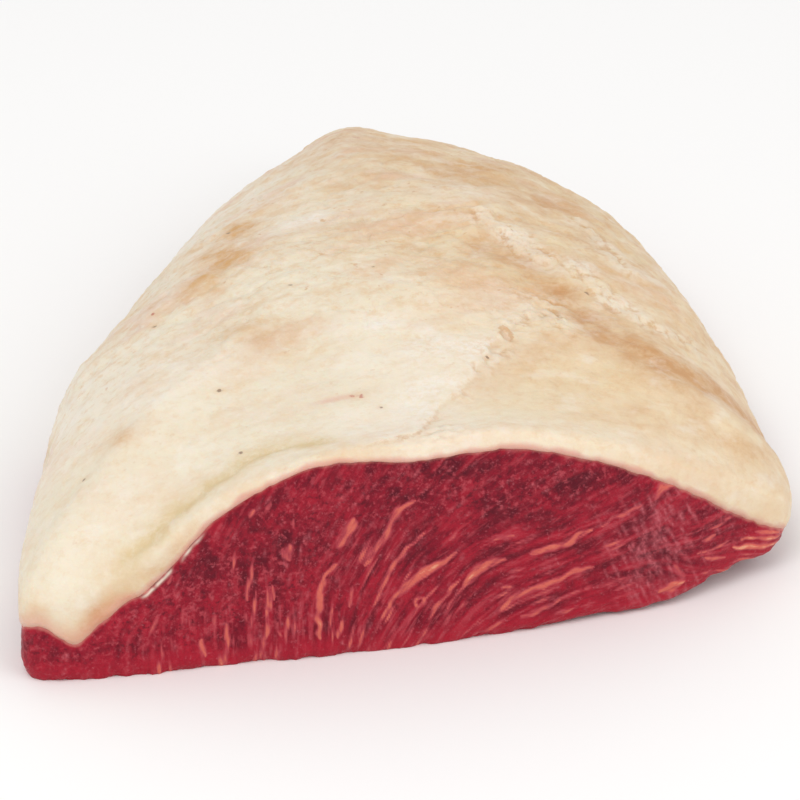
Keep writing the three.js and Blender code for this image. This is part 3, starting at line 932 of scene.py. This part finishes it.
class Shader:
    """A material's node tree, built up by short calls. A name given as a value is the mesh's attribute."""

    def __init__(self, name, colour):
        self.material = bpy.data.materials.new(name)
        self.material.use_nodes = True
        self.tree = self.material.node_tree
        self.place = self.node("ShaderNodeTexCoord").outputs["Object"]
        self.colour = (*colour, 1)

    def node(self, kind, **settings):
        node = self.tree.nodes.new(kind)
        for key, value in settings.items():
            setattr(node, key, value)
        return node

    def link(self, value, socket):
        if isinstance(value, str):
            value = self.node("ShaderNodeAttribute", attribute_name=value).outputs["Fac"]
        if isinstance(value, bpy.types.NodeSocket):
            self.tree.links.new(value, socket)
        else:
            socket.default_value = value

    def math(self, operation, a, b=0):
        node = self.node("ShaderNodeMath", operation=operation)
        self.link(a, node.inputs[0])
        self.link(b, node.inputs[1])
        return node.outputs[0]

    def times(self, product, *others):
        for other in others:
            product = self.math("MULTIPLY", product, other)
        return product

    def ramp(self, value, low, high, to_low=0, to_high=1):
        node = self.node("ShaderNodeMapRange", interpolation_type="SMOOTHSTEP")
        for socket, v in zip(node.inputs, (value, low, high, to_low, to_high)):
            self.link(v, socket)
        return node.outputs[0]

    def noise(self, size, stretch=(1, 1, 1), turn=(0, 0, 0), detail=4, roughness=0.55, distortion=0):
        """Noise with features of `size` millimetres, drawn out by `stretch` along axes turned by `turn`."""
        mapping = self.node("ShaderNodeMapping", vector_type="TEXTURE")
        mapping.inputs["Scale"].default_value = [size * MM * s for s in stretch]
        mapping.inputs["Rotation"].default_value = turn
        self.link(self.place, mapping.inputs["Vector"])
        node = self.node("ShaderNodeTexNoise")
        self.link(mapping.outputs[0], node.inputs["Vector"])
        node.inputs["Scale"].default_value = 1
        node.inputs["Detail"].default_value = detail
        node.inputs["Roughness"].default_value = roughness
        node.inputs["Distortion"].default_value = distortion
        return node.outputs["Fac"]

    def paint(self, colour, *shares, kind="MIX"):
        """Lays a colour over the colour so far, by the product of the shares."""
        node = self.node("ShaderNodeMix", data_type="RGBA", blend_type=kind)
        self.link(self.times(*shares), node.inputs["Factor"])
        for key, value in (("A", self.colour), ("B", (*colour, 1))):
            self.link(value, next(s for s in node.inputs if s.name == key and s.type == "RGBA"))
        self.colour = next(s for s in node.outputs if s.type == "RGBA")

    def away(self, place, reach, shift):
        """Distance from a place seen from above, in parts of the reach along x and y."""
        flat = self.node("ShaderNodeVectorMath", operation="MULTIPLY")
        self.link(self.place, flat.inputs[0])
        flat.inputs[1].default_value = (1 / (reach[0] * MM), 1 / (reach[1] * MM), 0)
        away = self.node("ShaderNodeVectorMath", operation="DISTANCE")
        self.link(flat.outputs[0], away.inputs[0])
        away.inputs[1].default_value = (*((p + d) / r for p, d, r in zip(place, shift, reach)), 0)
        return away.outputs["Value"]

    def bump(self, height, distance, strength, before=None):
        node = self.node("ShaderNodeBump")
        node.inputs["Strength"].default_value = strength
        node.inputs["Distance"].default_value = distance * MM
        self.link(height, node.inputs["Height"])
        if before is not None:
            self.link(before, node.inputs["Normal"])
        return node.outputs[0]

    def finish(self, settings):
        surface = self.tree.nodes["Principled BSDF"]
        for key, value in {"Base Color": self.colour, **settings}.items():
            self.link(value, surface.inputs[key])
        return self.material


CREAM = (0.82, 0.735, 0.575)
PALE = (0.87, 0.79, 0.655)
BEIGE = (0.76, 0.55, 0.345)
TAN = (0.60, 0.33, 0.15)
WARM = (0.97, 0.885, 0.74)
OCHRE = (0.66, 0.37, 0.14)
STRAW = (0.70, 0.54, 0.31)
PINKISH = (0.78, 0.54, 0.42)
WHITE = (0.90, 0.84, 0.76)
ROSE = (0.68, 0.27, 0.22)
BROWN = (0.17, 0.08, 0.05)
BLOOD = (0.46, 0.07, 0.06)


def fat_material(shift):
    s = Shader("beef_fat", CREAM)
    turn = (0, 0, DRIFT)
    broad = s.noise(50, (1.7, 1, 1), detail=3)
    pink = s.noise(17, (1.8, 1, 1), turn, 4)
    patchy = s.noise(12, (1.25, 1, 1), turn, 5, 0.7)
    white = s.noise(7, (1.4, 1, 1), turn, 4, 0.6)
    streaky = s.noise(4.5, (1.15, 1, 1), turn, 6, 0.75, 0.3)
    mottle = s.noise(2.6, (1.15, 1, 1), turn, 6, 0.7)
    pit_shade = s.noise(2.6, detail=2)
    fine = s.noise(1.4, detail=5, roughness=0.7)
    s.paint(PALE, s.ramp(broad, 0.4, 0.62))
    s.paint(BEIGE, s.ramp(patchy, 0.45, 0.68), s.ramp("busy", 0, 1, 0.3, 0.65))
    s.paint(PINKISH, s.ramp(pink, 0.5, 0.68), s.ramp("busy", 0, 1, 0.15, 0.6))
    s.paint(BEIGE, s.ramp(streaky, 0.5, 0.72), s.ramp("busy", 0, 1, 0.35, 0.8))
    s.paint(BEIGE, s.ramp(mottle, 0.5, 0.68), s.ramp("busy", 0, 1, 0.3, 0.7))
    s.paint(PALE, s.ramp(mottle, 0.48, 0.34), s.ramp("busy", 0, 1, 0.35, 0.55))
    s.paint(WARM, "warm", kind="MULTIPLY")
    # Tan of real stains, with painted shade at the seam and along the groove.
    s.paint(TAN, "tan_and_shade", s.ramp(streaky, 0.3, 0.65, 0.6, 1.1), 0.75)
    s.paint(OCHRE, "ochre", s.ramp(mottle, 0.3, 0.62, 0.55, 1))
    s.paint(BEIGE, "low", s.ramp(patchy, 0.35, 0.65, 0.1, 0.6))
    # Painted shade: a yellowish line along the fold at the front left.
    s.paint(STRAW, "fold_shade", s.ramp(streaky, 0.35, 0.6, 0.4, 0.95))
    s.paint(WHITE, s.ramp(white, 0.52, 0.7, 0, 0.3))
    # Painted highlights: white at the wet-looking places and on the raised side of the seam's step.
    s.paint(WHITE, "painted_highlight", s.ramp(fine, 0.35, 0.6, 0.25, 0.75))
    uneven = s.ramp(fine, 0.3, 0.7, -0.4, 0.4)
    tops = s.math("ADD", "tops", uneven)
    # Painted shade in the hollows between the lumps, and painted light on their tops.
    s.paint(TAN, "rough", s.ramp(tops, -0.2, 0.7, 0.5, 0))
    s.paint(PALE, "rough", s.ramp(tops, 0.2, 1.1, 0, 0.55))
    off_seam = s.math("ABSOLUTE", s.math("ADD", "off_seam", uneven))
    # Painted shade in the seam's crease.
    s.paint(TAN, "crease_shade", s.ramp(off_seam, 0.1, 0.8, 0.5, 0), s.ramp(mottle, 0.38, 0.6, 0.25, 1))
    s.paint(ROSE, "rose", 0.7)
    crooked = s.ramp(s.noise(1, detail=2), 0.3, 0.7, -0.5, 0.5)
    for specks, colour in ((DARK_SPECKS, BROWN), (RED_SPECKS, BLOOD)):
        for place, radius in specks:
            away = s.away(place, (radius, radius), shift)
            s.paint(BEIGE, s.ramp(away, 0.8, 4.5, 0.35, 0))
            s.paint(colour, s.ramp(s.math("ADD", away, crooked), 0.3, 1.4, 0.7, 0))
    s.paint(ROSE, s.ramp(s.away(**SMEAR, shift=shift), 0.2, 1.2, 0.3, 0))
    ring = s.math("ADD", s.away(**RING_PIT, shift=shift), s.ramp(fine, 0.3, 0.7, -0.25, 0.25))
    s.paint(PINKISH, s.ramp(ring, 0.9, 0.2, 0, 0.4))
    s.paint(TAN, s.ramp(ring, 0.45, 0.8), s.ramp(ring, 1.3, 0.9, 0, 0.6))
    # Painted shade: small tan spots standing for pits.
    s.paint(TAN, s.ramp(pit_shade, 0.68, 0.76), s.ramp("busy", 0, 1, 0.15, 0.6))
    settings = {
        "Roughness": s.ramp(patchy, 0.35, 0.65, 0.34, 0.55),
        "Normal": s.bump(fine, 0.2, 0.7, s.bump(streaky, 0.35, 0.8)),
        "Subsurface Weight": 0.2,
        "Subsurface Radius": (1, 0.55, 0.3),
        "Subsurface Scale": 2 * MM,
        "Specular IOR Level": 0.2,
        "Coat Weight": 0.04,
        "Coat Roughness": 0.3,
    }
    return s.finish(settings)


MEAT = (0.28, 0.008, 0.024)
MAROON = (0.105, 0.006, 0.015)
BRIGHT = (0.41, 0.014, 0.032)
FIBRE_PINK = (0.47, 0.065, 0.085)
# pink of the flecks, also used for painted highlights
FLECK_AND_GLINT_PINK = (0.53, 0.12, 0.145)
MARBLE = (0.64, 0.135, 0.10)
KERNEL = (0.79, 0.35, 0.22)
MEMBRANE = (0.56, 0.34, 0.32)


def grain_noise(s, size, stretch, detail):
    """Noise drawn out along the fibres: one for each heading, weighted by the mesh's heading attributes."""
    total = 0
    for k in range(HEADINGS):
        turned = s.noise(size, (stretch, 1, 1), (0, -math.pi * k / HEADINGS, 0), detail)
        total = s.math("ADD", s.times(f"heading{k}", turned), total)
    return total


def lean_material():
    s = Shader("raw_beef", MEAT)
    strand = grain_noise(s, 0.9, 7, 2)
    speckle = s.noise(0.8, detail=3, roughness=0.6)
    grainy = s.noise(1.5, detail=4, roughness=0.65)
    mottle = s.noise(2.8, detail=4, roughness=0.6)
    cloudy = s.noise(10, detail=3)
    s.paint(BRIGHT, s.ramp(cloudy, 0.38, 0.64, 0, 0.7))
    s.paint(MAROON, s.math("ADD", "dark", s.ramp(mottle, 0.42, 0.68, -0.1, 0.5)), 0.9)
    drawn = s.ramp("blotch", 0, 1, 1, 0.35)
    for value, low, high, share, colour in (
        ("bundle", 0.5, 0.85, 0.6, BRIGHT),
        ("bundle", 0.8, 1, 0.5, FIBRE_PINK),
        ("bundle", 0.5, 0.05, 0.65, MAROON),
        (strand, 0.53, 0.7, 0.6, FIBRE_PINK),
        (strand, 0.47, 0.3, 0.6, MAROON),
        ("fibre", 0.65, 1, 0.3, FIBRE_PINK),
    ):
        s.paint(colour, s.ramp(value, low, high, 0, share), drawn)
    spotted = s.ramp("blotch", 0, 1, 0.15, 0.75)
    s.paint(FIBRE_PINK, s.ramp(grainy, 0.52, 0.68), spotted)
    s.paint(MAROON, s.ramp(grainy, 0.48, 0.34), spotted)
    s.paint(BRIGHT, "edge", 0.75)
    # Painted highlights: tiny pinkish glints over the darker mottle.
    s.paint(FLECK_AND_GLINT_PINK, s.ramp(speckle, 0.55, 0.75), s.ramp(mottle, 0.42, 0.6, 0.1, 0.6))
    s.paint(FLECK_AND_GLINT_PINK, "fleck", s.ramp(speckle, 0.35, 0.6, 0.4, 0.9))
    streak = s.times("vein", s.ramp(strand, 0.32, 0.62, 0.6, 1.2))
    s.paint(FIBRE_PINK, s.ramp(streak, 0.05, 0.4, 0, 0.85))
    s.paint(MARBLE, s.ramp(streak, 0.25, 0.7, 0, 0.95))
    s.paint(KERNEL, s.ramp(streak, 0.8, 1.3, 0, 0.9))
    s.paint(ROSE, "blush", 0.55)
    streaked = s.noise(4, (1, 4, 1), detail=4, roughness=0.6)
    s.paint(MARBLE, "under", s.ramp(streaked, 0.58, 0.7, 0, 0.6))
    skin = s.noise(45, detail=6, roughness=0.6)
    s.paint(MEMBRANE, "under", s.ramp(skin, 0.49, 0.56, 0, 0.7), s.ramp(mottle, 0.3, 0.6, 0.5, 1))
    s.paint(PALE, "membrane", 0.85)
    # Painted shadow: brown in the gap under the lifted fat.
    s.paint(BROWN, "gap_shadow", 0.85)
    settings = {
        "Roughness": s.ramp(mottle, 0.35, 0.65, 0.26, 0.46),
        "Normal": s.bump(speckle, 0.25, 0.8, s.bump(strand, 0.4, 0.8)),
        "Subsurface Weight": 0.08,
        "Subsurface Radius": (1, 0.2, 0.15),
        "Subsurface Scale": 1.2 * MM,
        "Specular IOR Level": 0.1,
        "Coat Weight": 0.05,
        "Coat Roughness": 0.2,
    }
    return s.finish(settings)


# ---- stage, light and camera


def make_floor():
    half = 4  # metres
    mesh = bpy.data.meshes.new("floor")
    corners = [(-half, -half, 0), (half, -half, 0), (half, half, 0), (-half, half, 0)]
    mesh.from_pydata(corners, [], [(0, 1, 2, 3)])
    paper = Shader("floor", (0.97, 0.97, 0.97))
    mesh.materials.append(paper.finish({"Roughness": 0.8, "Specular IOR Level": 0.1}))
    floor = bpy.data.objects.new("floor", mesh)
    bpy.context.scene.collection.objects.link(floor)


def area_light(name, place, target, size, watts):
    light = bpy.data.lights.new(name, "AREA")
    light.shape = "DISK"
    light.size = size
    light.energy = watts
    lamp = bpy.data.objects.new(name, light)
    lamp.location = place
    lamp.rotation_euler = (Vector(target) - Vector(place)).to_track_quat("-Z", "Y").to_euler()
    bpy.context.scene.collection.objects.link(lamp)


def make_light():
    world = bpy.data.worlds.new("studio")
    bpy.context.scene.world = world
    world.use_nodes = True
    background = world.node_tree.nodes["Background"]
    background.inputs["Color"].default_value = (1, 0.99, 0.98, 1)
    background.inputs["Strength"].default_value = 0.78
    aim = (0, 0, 0.02)
    area_light("key", (-0.6, -0.9, 1.5), aim, 1, 8)
    area_light("fill", (0.9, -1.1, 1), aim, 1.2, 4.5)
    bpy.context.scene.view_settings.view_transform = "Standard"


CAMERA = {
    "azimuth": -12,
    "elevation": 28,
    "distance": 1100,
    "target": (0, 95, 13),
    "lens": 198,
}


def make_camera(shift):
    azimuth, elevation = (math.radians(CAMERA[key]) for key in ("azimuth", "elevation"))
    level = math.cos(elevation)
    back = Vector((math.sin(azimuth) * level, -math.cos(azimuth) * level, math.sin(elevation)))
    target = Vector(np.array(CAMERA["target"]) + shift)
    data = bpy.data.cameras.new("camera")
    data.sensor_width = 36
    data.lens = CAMERA["lens"]
    data.clip_end = 20
    camera = bpy.data.objects.new("camera", data)
    camera.location = (target + back * CAMERA["distance"]) * MM
    camera.rotation_euler = back.to_track_quat("Z", "Y").to_euler()
    bpy.context.scene.collection.objects.link(camera)
    bpy.context.scene.camera = camera


def frame_shift():
    """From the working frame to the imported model's, so that the outlines lie on each other."""
    along = np.arange(0, len(STATIONS), 0.25)
    outline = np.stack([closed_curve(station(key), along) for key in ("x", "y")], -1)
    low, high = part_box("fat_cap")
    packed = (np.array(low)[:2] + np.array(high)[:2]) / 2 / MM
    return np.array([*(packed - (outline.min(0) + outline.max(0)) / 2), 0])


shift = frame_shift()
make_floor()
make_light()
make_camera(shift)
for make, node, slot, material in (
    (make_lean, "lean", "lean", lean_material()),
    (make_fat, "fat_cap", "fat", fat_material(shift)),
):
    piece = make(shift)
    piece.data.materials.append(material)
    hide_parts(node)
    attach(piece, "root")
